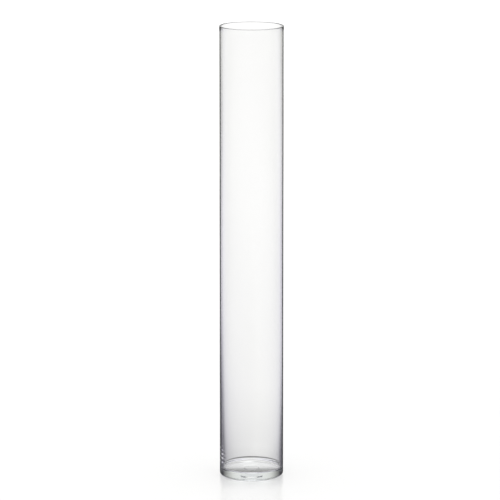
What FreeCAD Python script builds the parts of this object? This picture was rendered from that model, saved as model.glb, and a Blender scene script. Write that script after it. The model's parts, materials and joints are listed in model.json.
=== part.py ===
"""Tall clear glass cylinder vase: one piece of mould-blown glass with a heavy base.

Millimetres. The origin is the centre of the standing plane and +Z is the vase's
axis, pointing out of its mouth. The whole vase is one closed half section, drawn
in the XZ plane as (radius, z) points and turned about Z.
"""

import FreeCAD
import Part
import math
import os

# Body and lip
OUTER_DIAMETER = 99.8       # straight from heel to lip
HEIGHT = 711.0              # standing plane to lip
LIP_WALL = 2.1              # wall at the lip and along the straight bore
LIP_ROUND = 0.95            # round on both edges of the lip

# Inside of the base
BORE_BOTTOM_Z = 250.0       # the straight bore ends here, the wall thickens below
BASE_WALL = 3.8             # wall just above the inside corner
CORNER_TOP_Z = 15.5         # where the inside corner starts
CORNER_RADIUS = 3.5         # inside corner between wall and floor
FLOOR_SLOPE = math.radians(1.6)  # fall towards the axis, at the floor's edge

# Underside
HEEL_RADIUS = 4.5           # outside corner between wall and standing ring
RING_INNER_RADIUS = 41.0    # the standing ring runs from here to the heel
HOLLOW_RISE = 0.1           # rise of the hollow, at the edge of the mould mark
MARK_RADIUS = 12.0          # round mould mark in the middle
MARK_STEP = 1.2             # depth of the mark above the hollow
MARK_SHOULDER = 1.0         # width of the mark's sloping shoulder

OUTER_RADIUS = OUTER_DIAMETER / 2
BORE_RADIUS = OUTER_RADIUS - LIP_WALL

# Section angles, counter-clockwise from outward
UP = math.pi / 2
DOWN = -math.pi / 2


def vector(point):
    """Turn a (radius, z) point into a vector in the XZ plane."""
    radius, z = point
    return FreeCAD.Vector(radius, 0, z)


def on_circle(centre, radius, angle):
    return (
        centre[0] + radius * math.cos(angle),
        centre[1] + radius * math.sin(angle),
    )


def line(start, end):
    return Part.LineSegment(vector(start), vector(end)).toShape()


def arc(start, end, centre, radius, middle_angle):
    """Arc from start to end, passing the circle's point at middle_angle."""
    middle = on_circle(centre, radius, middle_angle)
    return Part.Arc(vector(start), vector(middle), vector(end)).toShape()


def tangent_arc(run, offset):
    """Radius and turn of an arc that goes `run` along its first tangent, `offset` off it."""
    radius = (run ** 2 + offset ** 2) / (2 * offset)
    return radius, 2 * math.atan(offset / run)


def underside(axis_point, ring_outer):
    """Edges from the axis out to the heel: mark, shoulder, hollow, standing ring."""
    mark_inner = (MARK_RADIUS - MARK_SHOULDER, axis_point[1])
    mark_outer = (MARK_RADIUS, HOLLOW_RISE)
    ring_inner = (RING_INNER_RADIUS, 0)

    # S-shaped shoulder: two equal arcs, level at both ends
    radius, turn = tangent_arc(MARK_SHOULDER / 2, MARK_STEP / 2)
    halfway = (MARK_RADIUS - MARK_SHOULDER / 2, HOLLOW_RISE + MARK_STEP / 2)
    upper_centre = (mark_inner[0], mark_inner[1] - radius)
    lower_centre = (mark_outer[0], mark_outer[1] + radius)

    # Hollow: level at the mark, meeting the ring at a shallow angle
    hollow_radius, hollow_turn = tangent_arc(RING_INNER_RADIUS - MARK_RADIUS, HOLLOW_RISE)
    hollow_centre = (MARK_RADIUS, HOLLOW_RISE - hollow_radius)

    return [
        line(axis_point, mark_inner),
        arc(mark_inner, halfway, upper_centre, radius, UP - turn / 2),
        arc(halfway, mark_outer, lower_centre, radius, DOWN - turn / 2),
        arc(mark_outer, ring_inner, hollow_centre, hollow_radius, UP - hollow_turn / 2),
        line(ring_inner, ring_outer),
    ]


def outside_and_lip(ring_outer, lip_inner):
    """Edges from the ring up over the heel and wall, and across the lip to the bore."""
    heel_top = (OUTER_RADIUS, HEEL_RADIUS)
    heel_centre = (ring_outer[0], HEEL_RADIUS)
    lip_outer = (OUTER_RADIUS, lip_inner[1])
    outer_centre = (OUTER_RADIUS - LIP_ROUND, lip_inner[1])
    inner_centre = (BORE_RADIUS + LIP_ROUND, lip_inner[1])
    top_outer = (outer_centre[0], HEIGHT)
    top_inner = (inner_centre[0], HEIGHT)
    return [
        arc(ring_outer, heel_top, heel_centre, HEEL_RADIUS, DOWN / 2),
        line(heel_top, lip_outer),
        arc(lip_outer, top_outer, outer_centre, LIP_ROUND, UP / 2),
        line(top_outer, top_inner),
        arc(top_inner, lip_inner, inner_centre, LIP_ROUND, UP * 3 / 2),
    ]


def inside(lip_inner):
    """Edges from the lip down the bore and in along the floor, and the floor's middle."""
    # Below the straight bore the wall thickens on a very large radius
    bore_end = (BORE_RADIUS, BORE_BOTTOM_Z)
    wall_end = (OUTER_RADIUS - BASE_WALL, CORNER_TOP_Z)
    wall_radius, wall_turn = tangent_arc(BORE_BOTTOM_Z - CORNER_TOP_Z, BASE_WALL - LIP_WALL)
    wall_centre = (BORE_RADIUS - wall_radius, BORE_BOTTOM_Z)

    # The inside corner is tangent to the wall and to the dished floor
    corner_centre = on_circle(wall_end, -CORNER_RADIUS, -wall_turn)
    corner_end_angle = DOWN + FLOOR_SLOPE
    corner_middle_angle = (corner_end_angle - wall_turn) / 2
    floor_edge = on_circle(corner_centre, CORNER_RADIUS, corner_end_angle)

    floor_radius = floor_edge[0] / math.sin(FLOOR_SLOPE)
    floor_centre = (0, floor_edge[1] + floor_radius * math.cos(FLOOR_SLOPE))
    floor_middle = (0, floor_centre[1] - floor_radius)

    edges = [
        line(lip_inner, bore_end),
        arc(bore_end, wall_end, wall_centre, wall_radius, -wall_turn / 2),
        arc(wall_end, floor_edge, corner_centre, CORNER_RADIUS, corner_middle_angle),
        arc(floor_edge, floor_middle, floor_centre, floor_radius, DOWN + FLOOR_SLOPE / 2),
    ]
    return edges, floor_middle


def glass_vessel():
    axis_point = (0, HOLLOW_RISE + MARK_STEP)
    ring_outer = (OUTER_RADIUS - HEEL_RADIUS, 0)
    lip_inner = (BORE_RADIUS, HEIGHT - LIP_ROUND)

    edges = underside(axis_point, ring_outer) + outside_and_lip(ring_outer, lip_inner)
    inside_edges, floor_middle = inside(lip_inner)
    edges += inside_edges
    edges.append(line(floor_middle, axis_point))

    section = Part.Face(Part.Wire(edges))
    solid = section.revolve(FreeCAD.Vector(0, 0, 0), FreeCAD.Vector(0, 0, 1), 360)
    # The turned solid can come out inside out
    if solid.Volume < 0:
        solid.reverse()
    return solid


os.makedirs("parts", exist_ok=True)
glass_vessel().exportStep("parts/glass_vessel.step")
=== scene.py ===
"""Looks of a clear glass cylinder vase. It stands on z = 0 with its axis on Z, seen from -Y. Metres, +Z up.

One visible piece, blown_glass_vessel, replaces the CAD node glass_vessel. It turns the CAD solid's own
meridian at a finer step and adds the unevenness of blown glass: a bore off the axis near the base,
settle waves low on the inside wall, a bead on one side of the lip and shallow waves in the skin.
"""

import json
import math

import bpy
import numpy as np
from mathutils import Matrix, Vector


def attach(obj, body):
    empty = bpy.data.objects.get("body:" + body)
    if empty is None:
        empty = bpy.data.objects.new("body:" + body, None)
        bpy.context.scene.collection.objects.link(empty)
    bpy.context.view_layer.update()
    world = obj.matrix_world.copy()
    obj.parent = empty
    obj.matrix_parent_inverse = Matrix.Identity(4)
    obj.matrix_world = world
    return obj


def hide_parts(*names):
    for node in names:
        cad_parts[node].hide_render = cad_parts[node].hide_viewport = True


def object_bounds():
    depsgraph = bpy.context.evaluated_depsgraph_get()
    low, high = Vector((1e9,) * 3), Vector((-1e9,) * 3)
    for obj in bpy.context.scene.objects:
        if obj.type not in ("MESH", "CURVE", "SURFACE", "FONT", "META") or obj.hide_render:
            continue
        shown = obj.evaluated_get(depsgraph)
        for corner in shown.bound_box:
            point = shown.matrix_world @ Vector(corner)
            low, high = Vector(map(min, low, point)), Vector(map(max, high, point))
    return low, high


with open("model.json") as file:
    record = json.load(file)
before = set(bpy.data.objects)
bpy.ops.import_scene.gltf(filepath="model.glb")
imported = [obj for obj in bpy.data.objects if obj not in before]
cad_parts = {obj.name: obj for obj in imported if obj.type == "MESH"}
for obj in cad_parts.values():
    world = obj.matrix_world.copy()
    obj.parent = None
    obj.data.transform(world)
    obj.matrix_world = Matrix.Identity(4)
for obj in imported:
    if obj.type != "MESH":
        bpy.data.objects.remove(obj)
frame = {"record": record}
cad_low, cad_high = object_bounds()

MM = 0.001

# ---- the CAD part's sizes, mm and degrees ----
mounts = {mount["name"]: mount for mount in frame["record"]["mounts"]}
OUTER_R = mounts["outer_wall"]["dims"]["r_mm"]
BORE_R = mounts["mouth"]["dims"]["r_mm"]
HEIGHT = (cad_high.z - cad_low.z) / MM

LIP_ROUND = 0.95
ROUND_Z = HEIGHT - LIP_ROUND  # where the lip's rounding starts
BORE_BOTTOM_Z = 250.0  # the wall thickens inward below this
BASE_WALL = 3.8  # wall thickness at the top of the inside corner
CORNER_TOP_Z = 15.5
CORNER_R = 3.5
FLOOR_SLOPE = math.radians(1.6)  # of the inside floor, where it meets the corner
HEEL_R = 4.5
FOOT_INNER_R = 41.0  # the flat ring the vase stands on starts here
PUNT_RISE = 0.1  # rise of the shallow hollow inside the foot ring
RECESS_R = 12.0  # round recess in the middle of the hollow
RECESS_STEP = 1.2
RECESS_SHOULDER = 1.0  # width of its S-shaped edge

# ---- mesh steps ----
SEGMENTS = 288  # around the axis
LOWER_WALL_Z = 60.0  # the outside wall's ring spacing changes here
LIP_ARC_STEPS, LIP_TOP_STEPS = 9, 2

# ---- unevenness of the blown glass, mm ----
BORE_OFFSET = 0.5  # the bore leans this far to +X at the floor
LEAN_Z = [0.0, 20.0, 120.0, 260.0, HEIGHT - 40.0]
LEAN_SHARE = [1.0, 1.0, 0.85, 0.3, 0.0]  # share of the offset at each height in LEAN_Z

SETTLE_WAVE = 0.22  # amplitude of the settle waves on the inside wall
SETTLE_PITCH = 6.7
SETTLE_Z, SETTLE_SPREAD = 30.0, 13.0  # height of the strongest waves, and their fade up and down
SETTLE_FADE_IN = 3.0  # height above the corner over which they start
SETTLE_SIDE = math.radians(188.0)  # middle of their patch, near -X
SETTLE_EDGE = 0.88  # cosine of the patch's half width

LIP_BEAD = 0.35  # extra thickness of the lip, near +X
BEAD_SPREAD = 9.0  # its fade down the wall
BEAD_SIDE = 0.15  # radians from +X

SKIN_WAVE = 0.03  # depth of the waves in the outside skin
BORE_WAVE = 2.0  # inside waves, as a multiple of SKIN_WAVE
SKIN_HARMONICS = [  # share, waves around, phase change up the full height, phase
    (0.5, 2, 5.1, 0.7),
    (0.3, 3, -8.3, 2.1),
    (0.2, 5, 13.7, 4.0),
]
WAVE_START_Z, WAVE_FADE_IN, WAVE_FADE_OUT = 20.0, 40.0, 30.0


def mesh_object(name, points, faces):
    mesh = bpy.data.meshes.new(name)
    mesh.from_pydata(points, [], faces)
    mesh.update()
    obj = bpy.data.objects.new(name, mesh)
    bpy.context.scene.collection.objects.link(obj)
    return obj


# ---- meridian: (radius, height) points. Each run leaves out its own start, which ends the run before ----
def line(start, end, steps):
    return [
        (
            start[0] + (end[0] - start[0]) * i / steps,
            start[1] + (end[1] - start[1]) * i / steps,
        )
        for i in range(1, steps + 1)
    ]


def arc(centre, radius, start, end, steps):
    angles = [start + (end - start) * i / steps for i in range(1, steps + 1)]
    return [
        (centre[0] + radius * math.cos(angle), centre[1] + radius * math.sin(angle))
        for angle in angles
    ]


def bend(run, drift):
    """Radius and angle of the arc that moves run along its starting tangent and drift off it."""
    radius = (run * run + drift * drift) / (2 * drift)
    return radius, math.asin(run / radius)


def underside():
    """From the axis outward to the heel."""
    centre = (0.0, PUNT_RISE + RECESS_STEP)
    top = (RECESS_R - RECESS_SHOULDER, centre[1])
    rim = (RECESS_R, PUNT_RISE)
    up = math.pi / 2
    points = [centre] + line(centre, top, 10)
    # the shoulder is two equal arcs that meet halfway
    radius, turn = bend((rim[0] - top[0]) / 2, (top[1] - rim[1]) / 2)
    points += arc((top[0], top[1] - radius), radius, up, up - turn, 8)
    points += arc((rim[0], rim[1] + radius), radius, -up - turn, -up, 8)
    radius, turn = bend(FOOT_INNER_R - RECESS_R, PUNT_RISE)
    points += arc((rim[0], rim[1] - radius), radius, up, up - turn, 16)
    points += line((FOOT_INNER_R, 0.0), (OUTER_R - HEEL_R, 0.0), 4)
    return points


def outside():
    """Up the heel and the outside wall to the lip."""
    points = arc((OUTER_R - HEEL_R, HEEL_R), HEEL_R, -math.pi / 2, 0.0, 26)
    points += line((OUTER_R, HEEL_R), (OUTER_R, LOWER_WALL_Z), 10)
    points += line((OUTER_R, LOWER_WALL_Z), (OUTER_R, ROUND_Z), 72)
    return points


def lip_outer():
    """Over the lip's outer rounding and its flat top."""
    outer, inner = OUTER_R - LIP_ROUND, BORE_R + LIP_ROUND
    points = arc((outer, ROUND_Z), LIP_ROUND, 0.0, math.pi / 2, LIP_ARC_STEPS)
    points += line((outer, HEIGHT), (inner, HEIGHT), LIP_TOP_STEPS)
    return points


def lip_inner():
    centre = (BORE_R + LIP_ROUND, ROUND_Z)
    return arc(centre, LIP_ROUND, math.pi / 2, math.pi, LIP_ARC_STEPS)


def inside():
    """Down the bore, round the corner and in along the floor to the axis."""
    down = -math.pi / 2
    points = line((BORE_R, ROUND_Z), (BORE_R, BORE_BOTTOM_Z), 48)
    # the settle waves need close rings, about 1.7 mm apart down the thickening wall
    radius, turn = bend(BORE_BOTTOM_Z - CORNER_TOP_Z, BASE_WALL - (OUTER_R - BORE_R))
    points += arc((BORE_R - radius, BORE_BOTTOM_Z), radius, 0.0, -turn, 140)
    x, z = points[-1]
    centre = (x - CORNER_R * math.cos(turn), z + CORNER_R * math.sin(turn))
    points += arc(centre, CORNER_R, -turn, down + FLOOR_SLOPE, 26)
    x, z = points[-1]
    radius = x / math.sin(FLOOR_SLOPE)
    centre = (0.0, z + radius * math.cos(FLOOR_SLOPE))
    points += arc(centre, radius, down + FLOOR_SLOPE, down, 26)
    points[-1] = (0.0, points[-1][1])
    return points


def uneven_rings(rings, first_inner):
    """Turn the rings and add the unevenness; from first_inner on they belong to the inside."""
    theta = np.arange(SEGMENTS) * 2 * math.pi / SEGMENTS
    r = np.repeat(rings[:, :1], SEGMENTS, 1)
    z = np.repeat(rings[:, 1:], SEGMENTS, 1)
    inner = np.zeros((len(rings), 1))
    inner[first_inner:] = 1.0
    up = z / HEIGHT
    # bead on the lip
    bead = np.exp(-(((HEIGHT - z) / BEAD_SPREAD) ** 2)) * (up > 0.9)
    r -= inner * LIP_BEAD * bead * (0.5 + 0.5 * np.cos(theta - BEAD_SIDE))
    # settle waves, a soft patch that fades up the wall and is gone at the floor
    side = np.clip((np.cos(theta - SETTLE_SIDE) - SETTLE_EDGE) / (1 - SETTLE_EDGE), 0, 1) ** 2
    fade = np.exp(-(((z - SETTLE_Z) / SETTLE_SPREAD) ** 2))
    fade *= np.clip((z - CORNER_TOP_Z) / SETTLE_FADE_IN, 0, 1)
    phase = 2 * math.pi * z / SETTLE_PITCH + 0.9 * np.sin(theta * 2 + 0.4)
    r += inner * SETTLE_WAVE * side * fade * np.sin(phase)
    # shallow waves in both skins; the inside takes them mirrored around
    wave = sum(
        share * np.sin(count * theta + climb * up + start)
        for share, count, climb, start in SKIN_HARMONICS
    )
    body = np.clip((z - WAVE_START_Z) / WAVE_FADE_IN, 0, 1)
    body *= np.clip((HEIGHT - z) / WAVE_FADE_OUT, 0, 1)
    r -= (1 - inner) * SKIN_WAVE * (0.5 + 0.5 * wave) * body
    r += inner * SKIN_WAVE * BORE_WAVE * wave[:, ::-1] * body
    lean = inner * BORE_OFFSET * np.interp(z, LEAN_Z, LEAN_SHARE)
    return np.stack([r * np.cos(theta) + lean, r * np.sin(theta), z], -1).reshape(-1, 3)


def turned_vessel(name):
    """The closed glass body, one mesh with a single point at each end of the axis."""
    outer = underside() + outside() + lip_outer()
    meridian = outer + lip_inner() + inside()
    rings = np.array(meridian[1:-1])
    skin = uneven_rings(rings, len(outer) - 1)
    under_centre = [0.0, 0.0, meridian[0][1]]
    floor_centre = [BORE_OFFSET, 0.0, meridian[-1][1]]
    points = np.vstack([under_centre, skin, floor_centre]) * MM

    here = np.arange(SEGMENTS)
    after = (here + 1) % SEGMENTS
    low = 1 + np.arange(len(rings) - 1)[:, None] * SEGMENTS
    high = low + SEGMENTS
    quads = np.stack([low + here, low + after, high + after, high + here], -1).reshape(-1, 4)
    last = 1 + (len(rings) - 1) * SEGMENTS
    faces = [(0, int(1 + q), int(1 + p)) for p, q in zip(here, after)]
    faces += quads.tolist()
    faces += [(int(last + p), int(last + q), len(points) - 1) for p, q in zip(here, after)]
    vessel = mesh_object(name, points.tolist(), faces)
    vessel.data.shade_smooth()
    return vessel


# ---- node helper ----
class Nodes:
    """Builds nodes in a tree. A value may be a number, a tuple or another node's output."""

    def __init__(self, tree, clear=True):
        self.tree = tree
        if clear:
            tree.nodes.clear()

    def put(self, socket, value):
        if isinstance(value, bpy.types.NodeSocket):
            self.tree.links.new(value, socket)
        else:
            socket.default_value = value

    def add(self, kind, inputs=None, **settings):
        node = self.tree.nodes.new(kind)
        for key, value in settings.items():
            setattr(node, key, value)
        for key, value in (inputs or {}).items():
            self.put(node.inputs[key], value)
        return node

    def math(self, operation, *values, clamp=False):
        inputs = dict(enumerate(values))
        return self.add("ShaderNodeMath", inputs, operation=operation, use_clamp=clamp).outputs[0]

    def scale(self, vector, factor):
        inputs = {0: vector, "Scale": factor}
        return self.add("ShaderNodeVectorMath", inputs, operation="SCALE").outputs[0]

    def mix_vector(self, factor, first, second):
        node = self.add("ShaderNodeMix", {"Factor": factor}, data_type="VECTOR")
        ends = [s for s in node.inputs if s.type == "VECTOR" and s.name in "AB"]
        for socket, value in zip(ends, (first, second)):
            self.put(socket, value)
        return [s for s in node.outputs if s.type == "VECTOR"][0]

    def mix_shader(self, factor, first, second):
        return self.add("ShaderNodeMixShader", {0: factor, 1: first, 2: second}).outputs[0]

    def graph(self, x, knots, low, high):
        """A piecewise-linear graph of x through (x, value) knots."""
        inputs = {"Value": x, "From Min": low, "From Max": high}
        unit = self.add("ShaderNodeMapRange", inputs).outputs[0]
        ramp = self.add("ShaderNodeValToRGB", {0: unit})
        stops = ramp.color_ramp.elements
        while len(stops) < len(knots):
            stops.new(0.5)
        top = max(value for _, value in knots)
        for stop, (at, value) in zip(stops, knots):
            stop.position = (at - low) / (high - low)
            stop.color = (value / top, value / top, value / top, 1)
        return self.math("MULTIPLY", ramp.outputs[0], top)


# ---- studio light, as brightness by direction from the camera: a bright sweep behind the vase that falls off below the table's far edge, black flags beside it, side boxes, a large soft box overhead
# and a dim fill behind the camera. Below the line of sight it is also painted on the floor for rays from
# the glass, so there its dark band and its dim rows are painted shade ----
ACROSS = [0, 8, 12, 19, 28, 40, 60, 180]  # degrees to either side of straight ahead
LIGHT = [  # degrees above the line of sight, brightness at each of those sideways angles
    # rows below level are painted on the floor for rays from the glass; the dim -35 and -22 rows paint the
    # table's shade under the vase
    (-90, [1.5, 1.5, 1.5, 1.5, 0.75, 0.25, 1.5, 0.8]),
    (-35, [0.8, 0.9, 0.95, 1.05, 0.35, 0.05, 0.6, 0.15]),
    (-22, [0.5, 0.6, 0.65, 0.75, 0.2, 0.05, 0.45, 0.05]),
    (-9, [0.05, 0.1, 0.15, 0.2, 0.05, 0.1, 0.55, 0.0]),
    (-6.5, [0.25, 0.2, 0.1, 0.05, 0.0, 0.3, 0.7, 0.0]),
    (-4.5, [0.9, 0.6, 0.35, 0.0, 0.0, 0.75, 0.8, 0.0]),
    (-3, [1.05, 0.75, 0.5, 0.0, 0.0, 0.95, 0.75, 0.05]),
    (1, [1.15, 0.85, 0.6, 0.15, 0.0, 0.75, 0.5, 0.15]),
    (14, [1.05, 0.85, 0.75, 0.6, 0.45, 0.35, 0.0, 0.55]),
    (20, [0.9, 0.85, 0.8, 0.75, 0.65, 0.35, 0.0, 0.75]),
    (30, [0.75, 0.8, 0.85, 0.9, 0.85, 0.6, 0.05, 1.0]),
    (50, [0.5, 0.75, 0.9, 1.1, 1.05, 0.95, 0.55, 1.25]),
    (90, [0.0, 0.65, 0.95, 1.5, 1.5, 1.5, 1.5, 1.5]),
]
PLAIN = (1.0, 0.999, 0.99)  # straight ahead, and from TINT_END outward
COOL, WARM = (0.98, 0.95, 1.12), (1.0, 1.0, 0.95)  # to the sides, low down and high up
TINT_FULL, TINT_FADE, TINT_END = 28.0, 50.0, 90.0  # degrees across: full tint, fade width, no tint
COOL_BELOW, TINT_CLIMB = -3.0, 0.2  # degrees up where cool turns to warm, and share per degree
WHITE = (1, 1, 1, 1)


def studio_light(nodes, direction):
    """Colour seen along a world direction. The studio turns with the camera, so every side of the
    vase is shown the same way, as on a turntable."""
    turn = nodes.add(
        "ShaderNodeVectorTransform",
        {0: direction},
        vector_type="VECTOR",
        convert_from="WORLD",
        convert_to="CAMERA",
    )
    x, y, z = nodes.add("ShaderNodeSeparateXYZ", {0: turn.outputs[0]}).outputs
    angle = nodes.math("ABSOLUTE", nodes.math("ARCTAN2", x, z))
    across = nodes.math("MULTIPLY", angle, 180 / math.pi)
    up = nodes.math("MULTIPLY", nodes.math("ARCSINE", y), 180 / math.pi)

    def column(i):
        return nodes.graph(up, [(at, row[i]) for at, row in LIGHT], -90, 90)

    bright = column(0)
    for i, (start, stop) in enumerate(zip(ACROSS, ACROSS[1:]), 1):
        past = nodes.math("SUBTRACT", across, start)
        share = nodes.math("DIVIDE", past, stop - start, clamp=True)
        gap = nodes.math("SUBTRACT", column(i), bright)
        bright = nodes.math("MULTIPLY_ADD", gap, share, bright)

    climb = nodes.math("ADD", up, -COOL_BELOW)
    height = nodes.math("MULTIPLY", climb, TINT_CLIMB, clamp=True)
    near = nodes.math("DIVIDE", across, TINT_FULL, clamp=True)
    left = nodes.math("SUBTRACT", TINT_END, across)
    far = nodes.math("DIVIDE", left, TINT_FADE, clamp=True)
    tint = nodes.mix_vector(height, COOL, WARM)
    colour = nodes.mix_vector(nodes.math("MULTIPLY", near, far), PLAIN, tint)
    return nodes.scale(colour, bright)


def studio_world():
    """The studio light for reflections; plain white for the backdrop and for diffuse light."""
    world = bpy.data.worlds.new("studio")
    bpy.context.scene.world = world
    world.use_nodes = True
    world.cycles.sampling_method = "NONE"
    nodes = Nodes(world.node_tree)

    def background(colour, strength):
        inputs = {"Color": colour, "Strength": strength}
        return nodes.add("ShaderNodeBackground", inputs).outputs[0]

    ray = nodes.add("ShaderNodeLightPath").outputs
    direction = nodes.add("ShaderNodeTexCoord").outputs["Generated"]
    seen = background(studio_light(nodes, direction), 1.0)
    for kind, strength in (("Is Camera Ray", 1.15), ("Is Diffuse Ray", 1.1)):
        seen = nodes.mix_shader(ray[kind], seen, background(WHITE, strength))
    nodes.add("ShaderNodeOutputWorld", {"Surface": seen})


# ---- floor: white acrylic light table ----
TABLE_R, TABLE_Z, TABLE_SIDES = 4.0, -0.00002, 128  # metres, just under the vase
GLOW, MATT = 0.67, 0.45  # emission strength and diffuse grey
GLOSS, GLOSS_ROUGHNESS = 0.38, 0.2


def white_acrylic():
    """The glowing sheet for camera and diffuse rays. Other rays, those from the glass, see it glow with the
    studio light they would see through it: painted light in place of the sheet's own shading, with painted
    shade of the table under the vase.
    """
    acrylic = bpy.data.materials.new("white_acrylic")
    acrylic.use_nodes = True
    nodes = Nodes(acrylic.node_tree)
    glow = nodes.add("ShaderNodeEmission", {"Strength": GLOW}).outputs[0]
    matt = nodes.add("ShaderNodeBsdfDiffuse", {"Color": (MATT, MATT, MATT, 1)}).outputs[0]
    body = nodes.add("ShaderNodeAddShader", {0: glow, 1: matt}).outputs[0]
    polish = {"Roughness": GLOSS_ROUGHNESS, "Color": WHITE}
    gloss = nodes.add("ShaderNodeBsdfGlossy", polish).outputs[0]
    sheet = nodes.mix_shader(GLOSS, body, gloss)
    onward = nodes.scale(nodes.add("ShaderNodeNewGeometry").outputs["Incoming"], -1.0)
    # painted light: for rays from the glass the floor glows with the studio light of their direction,
    # painted shade under the vase included
    painted_light = nodes.add("ShaderNodeEmission", {"Color": studio_light(nodes, onward)}).outputs[0]
    ray = nodes.add("ShaderNodeLightPath").outputs
    direct = nodes.math("MAXIMUM", ray["Is Camera Ray"], ray["Is Diffuse Ray"])
    nodes.add("ShaderNodeOutputMaterial", {"Surface": nodes.mix_shader(direct, painted_light, sheet)})
    return acrylic


def light_table():
    angles = [2 * math.pi * i / TABLE_SIDES for i in range(TABLE_SIDES)]
    edge = [(TABLE_R * math.cos(a), TABLE_R * math.sin(a), TABLE_Z) for a in angles]
    table = mesh_object("light_table", edge, [tuple(range(TABLE_SIDES))])
    table.data.materials.append(white_acrylic())


# ---- glass ----
RELIEF = 0.01  # mm, depth of the cords and orange peel in the bump
CORD_SHARE, PEEL_SHARE = 0.85, 0.06
HAZE = 0.035  # most roughness that handling haze gives the polished skin


def blown_glass():
    glass = bpy.data.materials.new("clear_glass_blown")
    glass.use_nodes = True
    nodes = Nodes(glass.node_tree, clear=False)
    coord = nodes.add("ShaderNodeTexCoord").outputs["Object"]

    def noise(scale, detail, stretch=(1, 1, 1)):
        """Noise over the glass; scale is in cycles per metre."""
        place = nodes.add("ShaderNodeMapping", {"Vector": coord, "Scale": stretch}).outputs[0]
        inputs = {"Vector": place, "Scale": scale, "Detail": detail}
        return nodes.add("ShaderNodeTexNoise", inputs).outputs["Fac"]

    # handling haze: patches some 20 mm across, hardly off a clean polish
    haze = nodes.add(
        "ShaderNodeMapRange",
        {
            "Value": noise(scale=50.0, detail=4.0),
            "From Min": 0.45,
            "From Max": 0.8,
            "To Min": 0.0,
            "To Max": HAZE,
        },
    )
    # cords drawn down the wall as the glass was blown, and the mould's 2 mm orange peel
    cords = noise(scale=80.0, detail=2.0, stretch=(1, 1, 0.12))
    cords = nodes.math("MULTIPLY", cords, CORD_SHARE)
    peel = noise(scale=500.0, detail=1.0)
    relief = nodes.math("MULTIPLY_ADD", peel, PEEL_SHARE, cords)
    bump = {"Strength": 1.0, "Distance": RELIEF * MM, "Height": relief}
    skin = {
        "Base Color": WHITE,
        "IOR": 1.5,
        "Transmission Weight": 1.0,
        "Roughness": haze.outputs[0],
        "Normal": nodes.add("ShaderNodeBump", bump).outputs[0],
    }
    principled = glass.node_tree.nodes["Principled BSDF"]
    for key, value in skin.items():
        nodes.put(principled.inputs[key], value)
    body = {"Color": (0.84, 0.91, 0.94, 1), "Density": 5.0}  # faint blue-green in the thick glass
    tint = nodes.add("ShaderNodeVolumeAbsorption", body).outputs[0]
    nodes.put(glass.node_tree.nodes["Material Output"].inputs["Volume"], tint)
    return glass


def build_vase():
    vase = turned_vessel("blown_glass_vessel")
    vase.data.materials.append(blown_glass())
    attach(vase, "root")
    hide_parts("glass_vessel")


# ---- camera: metres, lens in mm ----
EYE = (-0.002365658, -5.0213, 1.3656)
PITCH = math.radians(11.33)  # down from level
SENSOR, FOCAL_LENGTH = 36.0, 236.88


def add_camera():
    lens = bpy.data.cameras.new("camera")
    camera = bpy.data.objects.new("camera", lens)
    bpy.context.scene.collection.objects.link(camera)
    bpy.context.scene.camera = camera
    lens.sensor_width = SENSOR
    lens.lens = FOCAL_LENGTH
    lens.clip_start, lens.clip_end = 0.1, 100.0
    camera.location = EYE
    camera.rotation_euler = (math.pi / 2 - PITCH, 0, 0)


def render_settings():
    scene = bpy.context.scene
    scene.view_settings.view_transform = "Standard"
    scene.cycles.max_bounces = 32
    scene.cycles.transmission_bounces = 32
    scene.cycles.glossy_bounces = 12
    scene.cycles.diffuse_bounces = 2


studio_world()
light_table()
build_vase()
add_camera()
render_settings()
